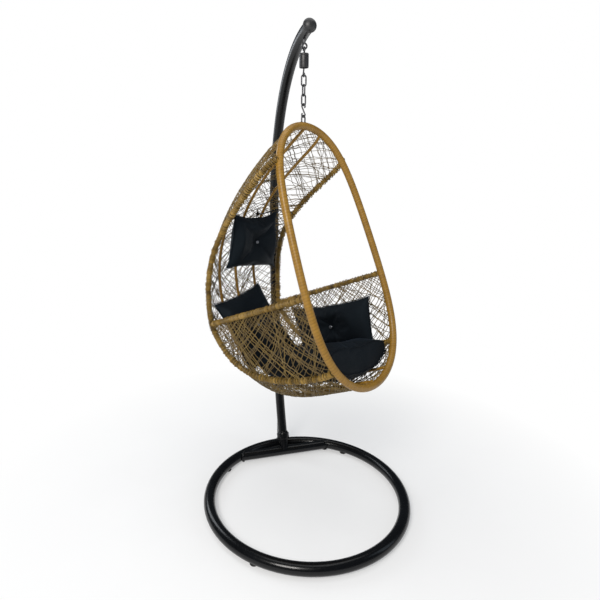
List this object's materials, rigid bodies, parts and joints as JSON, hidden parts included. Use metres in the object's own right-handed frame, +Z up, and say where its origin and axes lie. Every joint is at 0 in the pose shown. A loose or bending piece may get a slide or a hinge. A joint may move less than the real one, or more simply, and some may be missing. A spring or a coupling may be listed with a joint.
{
  "type": "hanging egg chair",
  "caption": "Egg-shaped wicker swing chair with loose dark pillows, hung by a short chain and spring from a curved steel pole on a ring base.",
  "frame": {"origin": "centre of the footprint on the floor, under the foot pads", "axes": "+Z up; -Y is the stand's front, where the ring reaches out under the seat; +X is the stand's left to right seen from the front camera side; the basket hangs swivelled 36 degrees about Z towards +X"},
  "size_m": [0.905, 1.041, 2.0034],
  "materials": {
    "stand_paint": "gloss black powder coat with soft bluish highlights",
    "black_plastic": "semi-gloss moulded black plastic",
    "pad_rubber": "matte black rubber",
    "hardware_steel": "dark zinc plated wire",
    "honey_cane": "honey synthetic cane wound tight round a tube, satin",
    "brown_rattan": "tan brown synthetic rattan strand, satin",
    "cushion_fabric": "charcoal black woven polyester with a faint sheen"
  },
  "bodies": {
    "stand": {"base_ring": "stand_paint", "base_crossbar": "stand_paint", "ring_foot_pad_1": "pad_rubber", "ring_foot_pad_2": "pad_rubber", "ring_foot_pad_3": "pad_rubber", "ring_foot_pad_4": "pad_rubber", "lower_pole": "stand_paint", "upper_pole": "stand_paint", "rear_strut": "stand_paint", "pole_foot_collar": "stand_paint", "pole_joint_core": "stand_paint", "pole_joint_screw_lower": "stand_paint", "pole_joint_screw_upper": "stand_paint", "pole_end_cap": "black_plastic", "pole_eye": "hardware_steel"},
    "spring_unit": {"spring_upper_hook": "hardware_steel", "tension_spring": "hardware_steel", "spring_cover": "black_plastic"},
    "hook_unit": {"spring_lower_hook": "hardware_steel"},
    "chain_1": {"chain_link_1": "hardware_steel"},
    "chain_2": {"chain_link_2": "hardware_steel"},
    "chain_3": {"chain_link_3": "hardware_steel"},
    "hook_s": {"s_hook": "hardware_steel"},
    "basket": {"hoop_hanger": "hardware_steel", "front_hoop": "honey_cane", "side_rod_left": "brown_rattan", "side_rod_right": "brown_rattan", "arm_rail_left": "brown_rattan", "arm_rail_right": "brown_rattan", "back_rib_left": "honey_cane", "back_rib_middle": "honey_cane", "back_rib_right": "honey_cane", "wrap_weave_panel": "brown_rattan", "side_weave_panel_left": "brown_rattan", "side_weave_panel_right": "brown_rattan", "head_pillow": "cushion_fabric", "head_pillow_button": "cushion_fabric", "left_pillow": "cushion_fabric", "left_pillow_button": "cushion_fabric", "right_pillow": "cushion_fabric", "right_pillow_button": "cushion_fabric", "seat_cushion": "cushion_fabric"}
  },
  "joints": [
    {"name": "swing_fore_aft", "type": "hinge", "parent": "stand", "child": "spring_unit", "pos_m": [0, 0.0314, 1.9075], "axis": [-1, 0, 0], "range_deg": [-0.7, 14]},
    {"name": "spring_stretch", "type": "slide", "parent": "spring_unit", "child": "hook_unit", "axis": [0, 0, -1], "range_m": [0, 0.03], "stiffness_N_per_m": 5000, "springref_m": -0.03, "deforming": ["tension_spring"]},
    {"name": "swing_side", "type": "hinge", "parent": "hook_unit", "child": "chain_1", "pos_m": [0, 0.0314, 1.8093], "axis": [0, 1, 0], "range_deg": [-10, 10]},
    {"name": "link_2_twist", "type": "hinge", "parent": "chain_1", "child": "chain_2", "pos_m": [0, 0.0314, 1.66], "axis": [0, 0, 1], "range_deg": [-39, 21]},
    {"name": "link_3_twist", "type": "hinge", "parent": "chain_2", "child": "chain_3", "pos_m": [0, 0.0314, 1.66], "axis": [0, 0, 1], "range_deg": [-39, 21]},
    {"name": "s_hook_twist", "type": "hinge", "parent": "chain_3", "child": "hook_s", "pos_m": [0, 0.0314, 1.66], "axis": [0, 0, 1], "range_deg": [-39, 21]},
    {"name": "basket_swivel", "type": "hinge", "parent": "hook_s", "child": "basket", "pos_m": [0, 0.0314, 1.66], "axis": [0, 0, 1], "range_deg": [-39, 21]}
  ]
}
